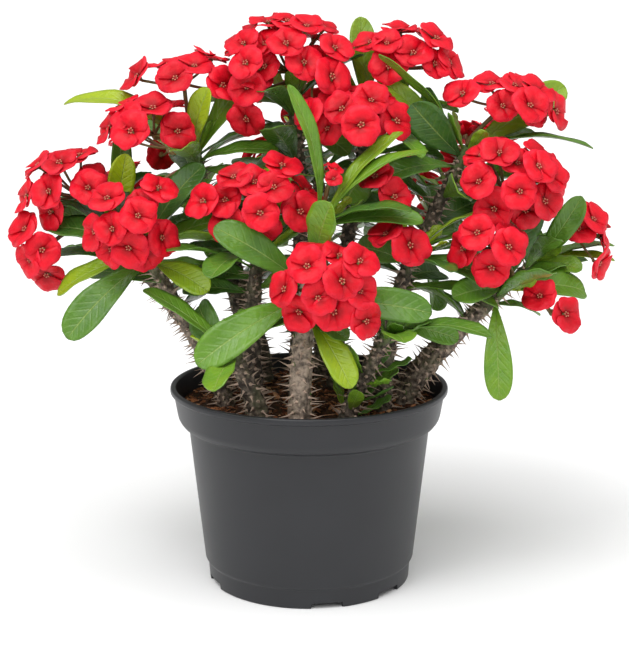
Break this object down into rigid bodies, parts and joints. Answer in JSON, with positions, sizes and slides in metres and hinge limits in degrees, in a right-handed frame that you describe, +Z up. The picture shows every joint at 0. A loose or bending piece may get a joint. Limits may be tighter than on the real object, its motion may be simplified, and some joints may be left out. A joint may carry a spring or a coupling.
{
  "type": "crown of thorns plant in nursery pot",
  "caption": "Bushy crown of thorns plant: thorny stems with leaves and domed heads of red blooms, in a round tapered nursery pot filled with soil.",
  "frame": {"origin": "middle of the pot's underside, where it stands", "axes": "+Z up along the pot's axis, -Y towards the side that the picture shows"},
  "size_m": [0.373, 0.2573, 0.3449],
  "materials": {
    "pot_plastic": "matte moulded dark grey plastic",
    "potting_soil": "crumbly reddish-brown bark and peat",
    "leaf": "glossy green leaf on thorny grey-brown wood",
    "bark": "rough grey-brown bark with thorns",
    "bract": "satin red bracts on reddish stalks"
  },
  "bodies": {
    "root": {"pot": "pot_plastic", "soil": "potting_soil", "stem_left": "leaf", "stem_upper_left": "leaf", "stem_front": "leaf", "stem_centre_right": "leaf", "stem_right": "leaf", "stem_upper_right": "leaf", "stem_top": "leaf", "stem_top_right": "leaf", "stem_far_left": "leaf", "stem_centre_left": "leaf", "stem_back_left": "leaf", "stem_back": "leaf", "stem_back_right": "leaf", "stem_far_right": "leaf", "stem_low_left": "leaf", "stem_low_right": "leaf", "head_far_left": "bract", "head_far_left_low": "bract", "head_left": "bract", "head_upper_left_low": "bract", "head_upper_left": "bract", "head_centre": "bract", "head_top": "bract", "head_top_low": "bract", "head_crown": "bract", "head_top_right": "bract", "head_upper_right": "bract", "head_right": "bract", "head_right_low": "bract", "head_low_right": "bract", "head_far_right": "bract", "head_front": "bract", "head_buds": "bract", "head_inner_high": "bract", "head_inner_low": "bract", "head_back_left": "bract", "head_back_left_low": "bract", "head_back": "bract", "head_back_low": "bract", "head_back_right": "bract", "head_back_right_low": "bract"}
  },
  "joints": []
}
